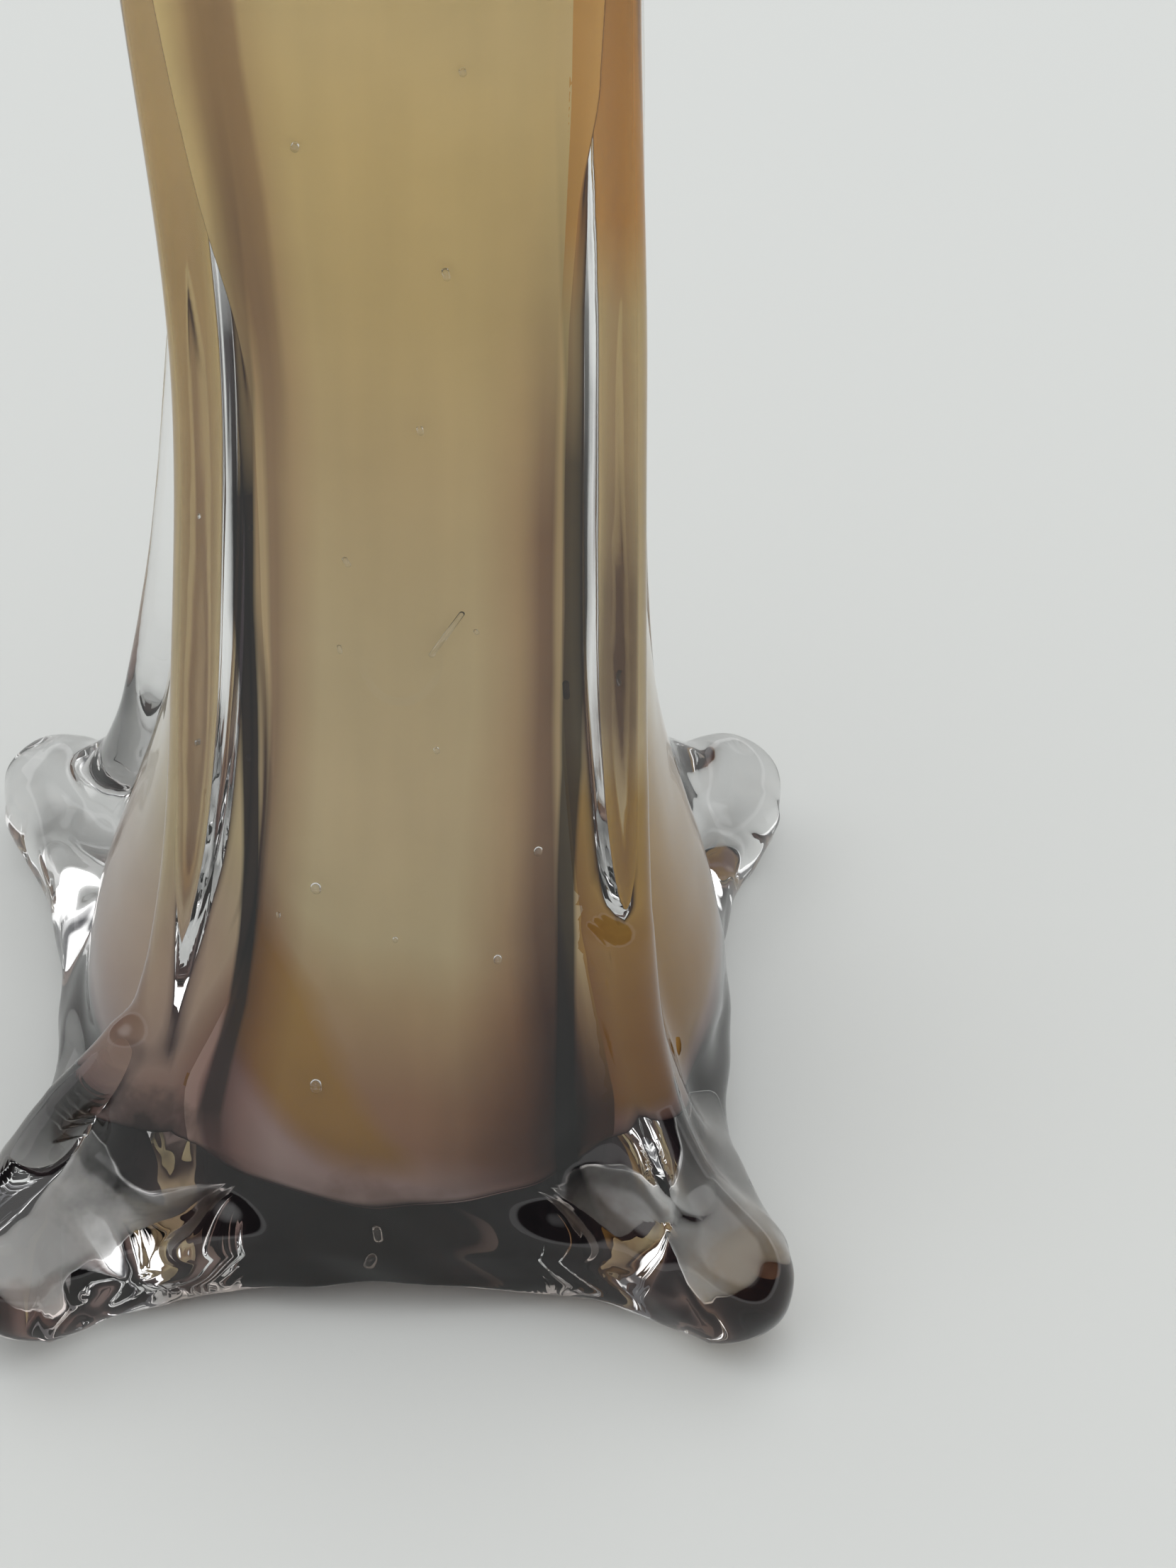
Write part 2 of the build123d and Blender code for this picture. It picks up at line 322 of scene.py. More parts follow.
# Where the gather swells or is pressed in: the direction and the width in degrees, then heights
# and how far out it goes at each. The well inside follows three quarters of it.
gather_swells = [
    (199.0, 28.0, [4, 20, 32, 37, 42, 47, 53, 74, 93, 120, 150, 306],
     [0, 0.8, 1.8, 0, -5, -9.8, -11.5, -9, -5.8, -2.4, 0, 0]),
    (220.0, 11.0, [4, 17, 24, 34, 39, 44, 55, 75, 95, 120, 306],
     [0, 1, 4, 3.5, 0, -3.5, -4.5, -3.6, -2, 0, 0]),
    (325.0, 13.0, [4, 17, 24, 34, 46, 55, 64, 306], [0, 1, 4.5, 6, 5.5, 4.5, 0, 0]),
]
well_swell_share = 0.75
# A low fin of gather reaches into each rib high up. Its width is an angle in radians.
fin_width = 0.065
flank_heights, flank_trim = [4, 14, 45, 75, 306], [0, 2.4, 2.4, 0, 0]
fin_heights = [4, 60, 90, 120, 145, 165, 185, 210, 306]
usual_fin = [0, 0, 0, 0, 0, 2, 4, 5, 5.5]
front_right_fin = [0, 0, 0, 0, 0, 0, 0.5, 4, 5.5]
fin_reach = [usual_fin, usual_fin, usual_fin, front_right_fin]


def gather_plan(turn, z, inset, fin_share=1.0):
    """The gather's reach in each direction: a rounded square with a low fin into each rib."""
    across, deep = np.abs(np.cos(turn)), np.abs(np.sin(turn))
    power = at_height(gather_heights, gather_roundness, z)
    square = (across**power + deep**power) ** (-1 / power)
    reach = (at_height(gather_heights, gather_reach, z) - inset) * square
    quarter = np.floor(turn / (math.pi / 2)).astype(int) % 4
    off_rib = turn % (math.pi / 2) - math.pi / 4
    for number, fin_sizes in enumerate(fin_reach):
        fin = at_height(fin_heights, fin_sizes, z) * np.exp(-((off_rib / fin_width) ** 2))
        reach = reach + fin_share * fin * (quarter == number)
    for centre, width, heights, swell in gather_swells:
        apart = (np.degrees(turn) - centre + 180) % 360 - 180
        swell_share = fin_share + well_swell_share * (1 - fin_share)
        reach = reach + swell_share * at_height(heights, swell, z) * np.exp(-((apart / width) ** 2))
    reach = reach - at_height(flank_heights, flank_trim, z) * across**6
    return reach * np.cos(turn) + lean_at(z), reach * np.sin(turn)


# Rings above near_rim are spread over what is left up to the rim. rim_mark stands for the rim.
near_rim, rim_mark = 270.0, 300.0


def gather_rings(inset, heights, rim_drop=0.0):
    """Rings of points on the gather's side, moved inwards. The well's inset is a function, without fins."""
    rings = []
    for height in heights:
        z = np.full(len(around), float(height))
        here, fin_share = (inset(height), 0.0) if callable(inset) else (inset, 1.0)
        for _ in range(5 if height > near_rim else 1):
            x, y = gather_plan(around, z, here, fin_share)
            if height > near_rim:
                top = rim_height(x, y) - rim_drop
                z = near_rim + (top - near_rim) * (height - near_rim) / (rim_mark - near_rim)
        rings.append(np.stack([x, y, z], -1))
    return np.array(rings)


def gather_heights_up(low):
    """Close rows over the rounded bottom, wider ones above."""
    return np.concatenate([np.linspace(low, low + 12, 24), np.linspace(low + 13.5, rim_mark, 110)])


# %% Rings over the rim
def rim_rings(start, end, count, form, dip=0.0):
    """Rings from one ring inwards to another, rounded near the edge where form is zero."""
    if dip == 0:
        share = 1 - np.cos(np.linspace(0, math.pi / 2, count + 1)[1:])
    else:
        share = np.linspace(0, 1, count + 1)[1:] ** 2
    rings = []
    for s in share:
        x, y = start[:, 0] + (end[:, 0] - start[:, 0]) * s, start[:, 1] + (end[:, 1] - start[:, 1]) * s
        top = rim_height(x, y)
        depth = np.clip(-form(x, y, top), 0, rim_round)
        z = top - rim_round + np.sqrt(np.maximum(rim_round**2 - (rim_round - depth) ** 2, 0))
        rings.append(np.stack([x, y, z - dip * s**4], -1))
    return np.array(rings)


# %% Make a mesh from rings
def smooth_piece(name, points, faces):
    """A smooth piece in the scene, from points in millimetres."""
    mesh = bpy.data.meshes.new(name)
    mesh.from_pydata((np.array(points, float) / 1000).tolist(), [], faces)
    mesh.update()
    mesh.shade_smooth()
    piece = bpy.data.objects.new(name, mesh)
    bpy.context.scene.collection.objects.link(piece)
    return piece


def grid_faces(rows, columns, across):
    """Four-sided faces between rows of points. A closed ring has as many across as it has columns."""
    faces = []
    for row in range(rows - 1):
        for column in range(across):
            here, side = row * columns + column, row * columns + (column + 1) % columns
            faces.append((here, side, side + columns, here + columns))
    return faces


def ring_mesh(name, rings, start, end):
    """A closed skin through rings of points, with a point in the middle at either end."""
    rows, columns = rings.shape[:2]
    points = rings.reshape(-1, 3).tolist() + [list(start), list(end)]
    faces = grid_faces(rows, columns, columns)
    last, first_point, last_point = (rows - 1) * columns, rows * columns, rows * columns + 1
    faces += [(first_point, (column + 1) % columns, column) for column in range(columns)]
    faces += [(last_point, last + column, last + (column + 1) % columns) for column in range(columns)]
    return smooth_piece(name, points, faces)


# %% The clear glass body
pocket_inset, lip_drop = 0.4, 0.6
pocket = gather_rings(pocket_inset, gather_heights_up(bottom_height + pocket_inset), rim_drop=lip_drop)
lip = rim_rings(outside[-1], pocket[-1], 26, column_form, dip=lip_drop)
crystal = ring_mesh(
    "crystal_body",
    np.concatenate([outside, lip[:-1], pocket[::-1]]),
    start=(0, 0, float(outside[0, :, 2].mean())),
    end=(lean_at(15.0), 0, bottom_height + pocket_inset),
)
print("clear glass:", len(crystal.data.polygons), "faces")

# %% [markdown]
# Small air bubbles, called seeds, hang in the clear glass. Light leaves the glass into each one,
# so a seed is a small closed skin that faces inwards, joined to the glass body's own mesh.

# %% Seed bubbles
# Each is where it starts and ends, across and up, and its radius. A long one was drawn out.
panel_seeds = [
    ((-7.4, 200.4), (-7.5, 199.8), 0.55), ((14.0, 213.2), (14.1, 212.6), 0.45),
    ((11.4, 179.8), (11.6, 178.6), 0.5), ((7.7, 152.7), (7.8, 152.0), 0.45),
    ((-2.6, 129.6), (-2.2, 128.7), 0.4), ((9.1, 96.4), (9.2, 96.0), 0.4),
    ((-7.8, 71.7), (-7.8, 71.3), 0.75), ((17.1, 59.9), (17.1, 59.5), 0.55),
    ((-8.4, 40.6), (-8.4, 40.0), 0.8), ((27.0, 104.0), (27.1, 101.8), 0.6),
    ((22.6, 76.4), (22.6, 76.0), 0.6), ((12.8, 120.2), (8.7, 113.2), 0.42),
    ((-15.7, 132.0), (-15.7, 131.6), 0.4), ((-17.1, 91.0), (-17.1, 90.5), 0.45),
    ((14.6, 117.0), (14.8, 116.6), 0.3), ((-3.7, 114.2), (-3.6, 113.2), 0.3),
    ((3.0, 64.0), (3.0, 63.7), 0.35), ((-13.0, 66.0), (-13.0, 65.6), 0.3),
]
# Two more lie in the base, at points in three directions.
base_seeds = [((-1.4, -43.6, 9.0), (-1.2, -43.4, 9.6), 0.8), ((-0.2, -44.2, 13.6), (-0.3, -44.0, 15.4), 0.7)]


def seed_mesh(start, end, radius):
    """A small closed skin round the line between two points, which faces inwards."""
    start, end = np.array(start), np.array(end)
    along = (end - start) / np.linalg.norm(end - start)
    side = np.cross(along, (0.0, 1.0, 0.0))
    side /= np.linalg.norm(side)
    turned = np.cross(along, side)
    turn = np.linspace(0, 2 * math.pi, 16, endpoint=False)[:, None]
    rings = []
    for tilt in np.linspace(-math.pi / 2, math.pi / 2, 12)[1:-1]:
        middle = (start if tilt < 0 else end) + along * radius * math.sin(tilt)
        rings.append(middle + radius * math.cos(tilt) * (np.cos(turn) * side + np.sin(turn) * turned))
    return ring_mesh("seed", np.array(rings), start=start - along * radius, end=end + along * radius)


def gather_side(x, z):
    """How far in front of the axis the gather's front panel is."""
    power = at_height(gather_heights, gather_roundness, z)
    reach = at_height(gather_heights, gather_reach, z)
    return -(max(reach**power - abs(x - lean_at(z)) ** power, 0.0) ** (1 / power))


def between_skins(x, z):
    """The point half way through the clear layer of the front panel."""
    inner, near, far = gather_side(x, z), -20.0, -80.0
    for _ in range(30):
        middle = (near + far) / 2
        inside = glass_form(np.array(x), np.array(middle), np.array(z)) < 0
        near, far = (middle, far) if inside else (near, middle)
    return (x, float(inner + (near - inner) * 0.5), z)


bubbles = []
for start, end, radius in panel_seeds:
    bubbles.append(seed_mesh(between_skins(*start), between_skins(*end), radius))
for start, end, radius in base_seeds:
    bubbles.append(seed_mesh(start, end, radius))
bpy.ops.object.select_all(action="DESELECT")
for bubble in bubbles:
    bubble.select_set(True)
crystal.select_set(True)
bpy.context.view_layer.objects.active = crystal
bpy.ops.object.join()
print("seeds joined:", len(bubbles))

# %% [markdown]
# The mauve gather is a thin shell on the opal core. On a polished rim it shows as a fine dark
# ring between the clear glass and the opal. The core itself shows on the rim and in the well.

# %% The mauve gather and the opal core
gather_thickness, fit_gap = 0.9, 0.05
gather_floor, gather_round = bottom_height + 1.2, 2.0
well_floor, well_round = 24.0, 12.0
well_heights, core_wall = [24, 158, 190, 224, 306], [5.1, 5.6, 7, 7.5, 7.9]


def well_wall(z):
    """How thick the coloured glass is between its outside and the well, at a height."""
    return at_height(well_heights, core_wall, z)


def gather_shell(name, outer_inset, inner_inset, floor, floor_round):
    """A cup between two insets of the gather's form, with its rim on the vase's rim."""
    outer = gather_rings(outer_inset, gather_heights_up(bottom_height + outer_inset))
    inner_low = floor + floor_round
    inner = gather_rings(inner_inset, np.linspace(inner_low, rim_mark, 100))
    bend = np.linspace(math.pi / 2, 0.03, 16)[1:]
    bowl = []
    for angle in bend:
        shrink = floor_round * (1 - math.sin(angle))
        ring = inner[0].copy()
        middle = np.array([float(lean_at(inner_low)), 0.0])
        plan = ring[:, :2] - middle
        length = np.linalg.norm(plan, axis=1, keepdims=True)
        ring[:, :2] = middle + plan * (1 - shrink / length)
        ring[:, 2] = inner_low - floor_round * math.cos(angle)
        bowl.append(ring)
    rim = rim_rings(outer[-1], inner[-1], 8, lambda x, y, z: np.full_like(x, -rim_round))
    return ring_mesh(
        name,
        np.concatenate([outer, rim[:-1], inner[::-1], np.array(bowl)]),
        start=(float(lean_at(15.0)), 0, bottom_height + outer_inset),
        end=(float(lean_at(floor)), 0, floor),
    )


gather = gather_shell("amethyst_gather", 0.0, gather_thickness, gather_floor, gather_round)
core = gather_shell("opal_cup", gather_thickness + fit_gap, well_wall, well_floor, well_round)
print("mauve gather and opal core:", len(gather.data.polygons) + len(core.data.polygons), "faces")

# %% [markdown]
# Each amber swirl is a patch of its own that lies on the gather, a tenth of a millimetre proud of
# it, with its border sunk under the gather. Its colour fades into the gather's own colour before
# the border, so the border never shows.

# %% The amber swirls
swirl_rise, border_sink, border_points = 0.12, 0.1, 12


def patch_mesh(name, low, high, start, end):
    """A patch of the gather's side between two heights and two directions, in degrees."""
    rows, columns = 100, 110
    up = np.linspace(low, high, rows)[:, None] + np.zeros((1, columns))
    share = np.linspace(0, 1, columns)[None, :] + np.zeros((rows, 1))
    to_side = np.minimum(share, 1 - share) * columns
    to_end = np.minimum(up - low, high - up) / (high - low) * rows
    inwards = np.clip(np.minimum(to_side, to_end) / border_points, 0, 1)
    rise = (swirl_rise + border_sink) * inwards**1.5 - border_sink
    x, y = gather_plan(np.radians(start + (end - start) * share), up, -rise)
    return smooth_piece(name, np.stack([x, y, up], -1).reshape(-1, 3), grid_faces(rows, columns, columns - 1))


swirl_front = patch_mesh("amber_front", 17.0, 95.0, 224.0, 300.0)
swirl_right = patch_mesh("amber_right", 17.0, 100.0, 307.0, 408.0)
swirl_shoulder = patch_mesh("amber_shoulder", 156.0, 284.0, 306.0, 380.0)
print("swirl patches:", [len(piece.data.polygons) for piece in (swirl_front, swirl_right, swirl_shoulder)])

# %% [markdown]
# The colours of the gather and of the swirls meet, so both materials take them from the same node
# groups. A group only works out colours and masks. The shader itself stays in each material.

# %% Tools for shader nodes
def plain_principled(name, colour, roughness):
    """A material with its shader, ready for nodes."""
    material = bpy.data.materials.new(name)
    material.use_nodes = True
    shader = material.node_tree.nodes["Principled BSDF"]
    shader.inputs["Base Color"].default_value = (*colour, 1)
    shader.inputs["Roughness"].default_value = roughness
    return material, shader


def put(value, socket):
    """Sets a socket to a number or colour, or links another socket into it."""
    if isinstance(value, bpy.types.NodeSocket):
        socket.id_data.links.new(value, socket)
    elif isinstance(value, tuple):
        socket.default_value = (*value, 1) if len(value) == 3 and socket.type == "RGBA" else value
    else:
        socket.default_value = value


def node_beside(values, kind):
    """A new node in the tree that the sockets among these values belong to."""
    tree = next(value.id_data for value in values if isinstance(value, bpy.types.NodeSocket))
    return tree.nodes.new(kind)


def maths(operation, *values):
    """A maths node; each value is a number or a socket."""
    node = node_beside(values, "ShaderNodeMath")
    node.operation = operation
    for index, value in enumerate(values):
        put(value, node.inputs[index])
    return node.outputs[0]


def times(first, *others):
    """The product of two or more numbers or sockets."""
    for other in others:
        first = maths("MULTIPLY", first, other)
    return first


def minus(first, second):
    """One number or socket less another."""
    return maths("SUBTRACT", first, second)


def sloped(value, slope, start):
    """A value times a slope, plus a start."""
    return maths("MULTIPLY_ADD", value, slope, start)


def blend(factor, first, second, kind="MIX"):
    """A colour mix; each value is a number, a colour or a socket."""
    node = node_beside((factor, first, second), "ShaderNodeMix")
    node.data_type, node.blend_type = "RGBA", kind
    put(factor, node.inputs["Factor"])
    put(first, node.inputs["A"])
    put(second, node.inputs["B"])
    return node.outputs["Result"]


def ramp(value, stops, scale=1.0):
    """A colour ramp through a list of (place, colour), or of (place, grey)."""
    node = node_beside([value], "ShaderNodeValToRGB")
    put(value if scale == 1.0 else maths("DIVIDE", value, scale), node.inputs[0])
    elements = node.color_ramp.elements
    for index, (place, colour) in enumerate(stops):
        stop = elements[index] if index < 2 else elements.new(place / scale)
        stop.position = place / scale
        stop.color = (*colour, 1) if isinstance(colour, tuple) else (colour, colour, colour, 1)
    return node.outputs["Color"]


def by_height(high, stops):
    """A ramp whose places are heights in millimetres, up to 300."""
    return ramp(high, stops, 300.0)


def place_on(tree):
    """The point's place on the object, whole and as its X, Y and Z, in metres."""
    place = tree.nodes.new("ShaderNodeTexCoord")
    parts = tree.nodes.new("ShaderNodeSeparateXYZ")
    put(place.outputs["Object"], parts.inputs[0])
    return place.outputs["Object"], parts.outputs["X"], parts.outputs["Y"], parts.outputs["Z"]


def noise(vector, scale, stretch=(1.0, 1.0, 1.0), detail=2.0):
    """Soft noise from 0 to 1, stretched along the axes."""
    mapping = node_beside([vector], "ShaderNodeMapping")
    mapping.inputs["Scale"].default_value = stretch
    put(vector, mapping.inputs["Vector"])
    node = node_beside([vector], "ShaderNodeTexNoise")
    put(mapping.outputs[0], node.inputs["Vector"])
    node.inputs["Scale"].default_value = scale
    node.inputs["Detail"].default_value = detail
    return node.outputs[0]


def new_group(name, inputs, outputs):
    """A shader node group with its sockets."""
    tree = bpy.data.node_groups.new(name, "ShaderNodeTree")
    for direction, sockets in (("INPUT", inputs), ("OUTPUT", outputs)):
        for label, kind in sockets:
            tree.interface.new_socket(label, in_out=direction, socket_type="NodeSocket" + kind)
    return tree, tree.nodes.new("NodeGroupInput"), tree.nodes.new("NodeGroupOutput")


def use_group(tree, group, **values):
    """A copy of a group in a material, with its inputs set or linked."""
    node = tree.nodes.new("ShaderNodeGroup")
    node.node_tree = group
    for label, value in values.items():
        put(value, node.inputs[label])
    return node


# %% [markdown]
# The gather is golden tan at the top, greyer further down and mauve at its foot. Its colours by
# height also hold painted light: they grow lighter and yellower towards the top, where light from
# above shines down through the translucent glass, and the very foot is dark mauve deepened with
# painted shade. On the front panel the foot is a pink fold with a curved upper edge. Its curl is
# painted as a band of pink glass with a painted highlight, and painted shade lies just above it.
# Beside each rib the mauve glass is thicker, so a soft stain runs down there, and painted shade
# darkens it further where the panels turn towards the ribs. The stain is placed by the ratio of
# across to deep, which is the same all the way up.

# %% The gather's own colour, shared by the gather and the swirls
white = (1.0, 1.0, 1.0)
# Colours by height in millimetres: the front panel, the other three, and the amber. The first two
# hold painted light, lighter towards the top, and painted shade at the foot. The front one also
# holds the fold's painted highlight at 19 and the painted shade above it at 30 to 38.
front_tone_and_light = [
    (14, (0.03, 0.018, 0.014)), (16.6, (0.07, 0.04, 0.035)), (19, (0.49, 0.36, 0.33)),
    (23, (0.43, 0.3, 0.27)), (30, (0.32, 0.17, 0.1)), (38, (0.356, 0.2, 0.11)),
    (52, (0.553, 0.392, 0.21)), (62, (0.697, 0.574, 0.337)), (86, (0.764, 0.615, 0.36)),
    (112, (0.772, 0.622, 0.353)), (144, (0.783, 0.603, 0.31)), (174, (0.835, 0.636, 0.285)),
    (198, (0.902, 0.691, 0.306)), (220, (0.95, 0.745, 0.36)), (299, (0.95, 0.75, 0.38)),
]
side_tone_and_light = [
    (14, (0.02, 0.012, 0.014)), (20, (0.05, 0.03, 0.032)), (27, (0.36, 0.25, 0.23)),
    (44, (0.52, 0.39, 0.28)), *front_tone_and_light[7:],
]
amber_stops = [
    (20, (0.28, 0.14, 0.04)), (60, (0.5, 0.3, 0.08)), (95, (0.58, 0.38, 0.11)),
    (170, (0.8, 0.42, 0.1)), (299, (0.86, 0.5, 0.14)),
]
# The stain across the front and back panels, from the left edge, 0, to the right edge, 1, and how
# strong it is by height on either half. The last list is for the sides, from middle to edge. The
# stain is partly thick mauve glass and partly painted shade where the panels turn towards the ribs.
front_stain_and_shade = [
    (0.0, (1.0, 0.96, 0.92)), (0.05, (1.0, 0.94, 0.9)), (0.085, (0.62, 0.51, 0.51)),
    (0.125, (0.6, 0.5, 0.49)), (0.2, (0.84, 0.76, 0.74)), (0.28, white), (0.66, white),
    (0.78, (0.8, 0.7, 0.67)), (0.86, (0.44, 0.33, 0.33)), (0.92, (0.4, 0.3, 0.3)),
    (0.955, (0.85, 0.78, 0.74)), (1.0, (1.0, 0.96, 0.92)),
]
left_strength = [(4, 1), (130, 1), (190, 0.6), (225, 0.4), (299, 0.35)]
right_strength = [(4, 1), (130, 1), (175, 0.25), (205, 0), (299, 0)]
side_stain_and_shade = [(0.0, white), (0.6, white), (0.85, (0.86, 0.8, 0.78)), (1.0, (0.76, 0.66, 0.64))]
# The fold's upper edge bows up to the left and falls to the right. No height is lowered past
# fold_low, so the fold never turns as dark as the very foot.
fold_bow, fold_fall, fold_low = 42000.0, 270.0, 21.5
shade_tint, edge_tint = (0.13, 0.08, 0.085), (0.1, 0.06, 0.08)


def place_group():
    """Where a point is on the vase: how far across its own axis, how high, and across to deep."""
    outputs = [("Across", "Float"), ("High", "Float"), ("Ratio", "Float")]
    tree, asked, given = new_group("place_on_vase", [], outputs)
    place, x, y, z = place_on(tree)
    high = times(z, 1000.0)
    lean_stops = [(height, shift / 10) for height, shift in zip(body_heights, lean_right)]
    across = minus(x, times(ramp(high, lean_stops, 306.0), 0.01))
    put(across, given.inputs["Across"])
    put(high, given.inputs["High"])
    put(maths("DIVIDE", across, maths("ABSOLUTE", y)), given.inputs["Ratio"])
    return tree


def fold_height(x, front, high):
    """The height as the fold sees it: lowered on the front panel's left and raised on its right."""
    sunk = maths("MAXIMUM", minus(times(x, -1.0), 0.004), 0.0)
    fold = times(maths("POWER", sunk, 2.0), front, fold_bow)
    lifted = times(maths("MAXIMUM", minus(x, 0.001), 0.0), fold_fall)
    fold = minus(fold, times(lifted, front))
    return maths("MAXIMUM", minus(high, fold), maths("MINIMUM", high, fold_low))


def stain_and_shade_colour(spot, faces_y, across, deep):
    """The mauve stain beside the ribs, with painted shade where the panel turns towards them, as a colour to
    multiply by. It is doubled low down.
    """
    high = spot.outputs["High"]
    share = sloped(spot.outputs["Ratio"], 0.5, 0.5)
    low_part = by_height(high, [(62, 1), (105, 0)])
    low_right = times(low_part, maths("GREATER_THAN", share, 0.5))
    share = sloped(low_right, 0.06, share)
    on_right = maths("GREATER_THAN", share, 0.5)
    left, right = by_height(high, left_strength), by_height(high, right_strength)
    strength = times(faces_y, blend(on_right, left, right))
    on_side = ramp(maths("DIVIDE", deep, across), side_stain_and_shade)
    stain_and_shade = blend(strength, blend(faces_y, on_side, white), ramp(share, front_stain_and_shade))
    low = by_height(high, [(28, 1), (48, 1), (76, 0)])
    return blend(low, stain_and_shade, blend(1.0, stain_and_shade, stain_and_shade, "MULTIPLY"))


def gather_group():
    """Tone by height with its painted light, amber where it is asked for, then the stain with its painted
    shade, mottling and a painted shade low on the front panel's right.
    """
    tree, asked, given = new_group("gather_colour", [("Amber", "Float")], [("Colour", "Color")])
    place, x, y, z = place_on(tree)
    spot = use_group(tree, place_on_vase)
    x, high = spot.outputs["Across"], spot.outputs["High"]
    across, deep = maths("ABSOLUTE", x), maths("ABSOLUTE", y)
    faces_y = maths("GREATER_THAN", deep, across)
    front = times(faces_y, maths("LESS_THAN", y, 0.0))

    folded = fold_height(x, front, high)
    tone_with_light = blend(front, by_height(high, side_tone_and_light), by_height(folded, front_tone_and_light))
    amber = times(asked.outputs["Amber"], by_height(folded, [(24, 0), (30, 1)]))
    tone_with_light = blend(amber, tone_with_light, by_height(high, amber_stops))
    stained_and_shaded = blend(1.0, tone_with_light, stain_and_shade_colour(spot, faces_y, across, deep), "MULTIPLY")

    # Painted shade, low on the right of the front panel, from 17 to 56 mm up.
    to_right = ramp(times(x, 10.0), [(0.03, 0), (0.25, 1)])
    low_band = by_height(high, [(17, 0), (23, 1), (30, 1), (56, 0)])
    stained_and_shaded = blend(times(to_right, front, low_band), stained_and_shaded, shade_tint, "MULTIPLY")
    cloud = noise(place, 48.0, detail=3.0)
    streak = noise(place, 150.0, stretch=(1.0, 1.0, 0.07))
    mottle = sloped(maths("ADD", cloud, streak), 0.16, 0.84)
    put(blend(1.0, stained_and_shaded, mottle, "MULTIPLY"), given.inputs["Colour"])
    return tree


def edge_group():
    """A thin coloured layer looks darker where it is seen edge on."""
    inputs = [("Colour", "Color"), ("Facing", "Float")]
    tree, asked, given = new_group("thin_layer_edge", inputs, [("Colour", "Color")])
    edge_stops = [(0, 0), (0.52, 0), (0.72, 0.5), (0.86, 0.95), (1, 1)]
    amount = ramp(asked.outputs["Facing"], edge_stops)
    dark = blend(1.0, asked.outputs["Colour"], edge_tint, "MULTIPLY")
    put(blend(amount, asked.outputs["Colour"], dark), given.inputs["Colour"])
    return tree


def drawn_group():
    """The faint lengthwise waves that drawing leaves in hot glass, as a normal."""
    inputs = [("Extra", "Float"), ("Depth", "Float")]
    tree, asked, given = new_group("drawn_waves", inputs, [("Normal", "Vector")])
    waves = noise(place_on(tree)[0], 95.0, stretch=(1.0, 1.0, 0.16), detail=1.0)
    bump = tree.nodes.new("ShaderNodeBump")
    bump.inputs["Strength"].default_value = 1.0
    put(maths("ADD", waves, asked.outputs["Extra"]), bump.inputs["Height"])
    put(asked.outputs["Depth"], bump.inputs["Distance"])
    put(bump.outputs["Normal"], given.inputs["Normal"])
    return tree


place_on_vase = place_group()
gather_colour, thin_edge, drawn_waves = gather_group(), edge_group(), drawn_group()
print("node groups:", [group.name for group in (place_on_vase, gather_colour, thin_edge, drawn_waves)])

# %% [markdown]
# The swirls' masks are worked out from the place on the vase: one follows a curve down the front
# panel, one fills the low part of the right panel and one runs up the right shoulder. Some noise
# makes their edges wander.

# %% The gather and the amber swirls
# How far across the front swirl's right edge is, by height, in millimetres.
front_swirl = [
    (18, 11), (28, 6), (38, 0), (55, -8.0),
    (62, -12.0), (72, -16.5), (84, -19.0), (95, -24.0),
]


def layered(material, shader, amber):
    """Joins the shared groups to a material's shader. The view angle comes from the material."""
    tree = material.node_tree
    facing = tree.nodes.new("ShaderNodeLayerWeight")
    colour = use_group(tree, gather_colour, Amber=amber).outputs["Colour"]
    edged = use_group(tree, thin_edge, Colour=colour, Facing=facing.outputs["Facing"]).outputs["Colour"]
    put(edged, shader.inputs["Base Color"])


def swirl_mask(tree):
    """Where the amber is: 1 inside any of the three swirls and 0 outside them."""
    place, x, y, z = place_on(tree)
    high = times(z, 1000.0)
    wander = sloped(noise(place, 60.0), 0.006, -0.003)

    edge_stops = [(height, (shift + 30) / 60) for height, shift in front_swirl]
    front_edge = sloped(by_height(high, edge_stops), 0.06, -0.03)
    on_front = maths("GREATER_THAN", times(y, -1.0), maths("ABSOLUTE", x))
    inside = minus(maths("ADD", front_edge, wander), x)
    edge, low = ramp(inside, [(0, 0), (0.004, 1)]), by_height(high, [(76, 1), (90, 0)])
    front_mask = times(on_front, edge, low)

    on_right = maths("GREATER_THAN", x, times(maths("ABSOLUTE", y), 0.84))
    top_edge = sloped(y, -0.6, 0.08)
    inside = minus(maths("ADD", top_edge, wander), z)
    edge, above = ramp(inside, [(0, 0), (0.012, 1)]), by_height(high, [(19, 0), (30, 1)])
    right_mask = times(edge, above, on_right)

    middle = sloped(z, -0.12, 0.0014)
    away = maths("ABSOLUTE", minus(maths("ADD", y, wander), middle))
    edge = ramp(away, [(0, 1), (0.0075, 1), (0.0115, 0)])
    between = by_height(high, [(166, 0), (184, 1), (262, 1), (280, 0)])
    shoulder_mask = times(edge, on_right, between)
    return maths("MAXIMUM", front_mask, maths("MAXIMUM", right_mask, shoulder_mask))


gather_material, shader = plain_principled("amethyst_glass", (0.4, 0.3, 0.17), 0.5)
shader.inputs["Specular IOR Level"].default_value = 0.0
layered(gather_material, shader, 0.0)
gather.data.materials.append(gather_material)

amber_material, shader = plain_principled("amber_glass", (0.4, 0.2, 0.05), 0.5)
shader.inputs["Specular IOR Level"].default_value = 0.0
layered(amber_material, shader, swirl_mask(amber_material.node_tree))
for piece in (swirl_front, swirl_right, swirl_shoulder):
    piece.data.materials.append(amber_material)
print("materials:", gather_material.name, amber_material.name)

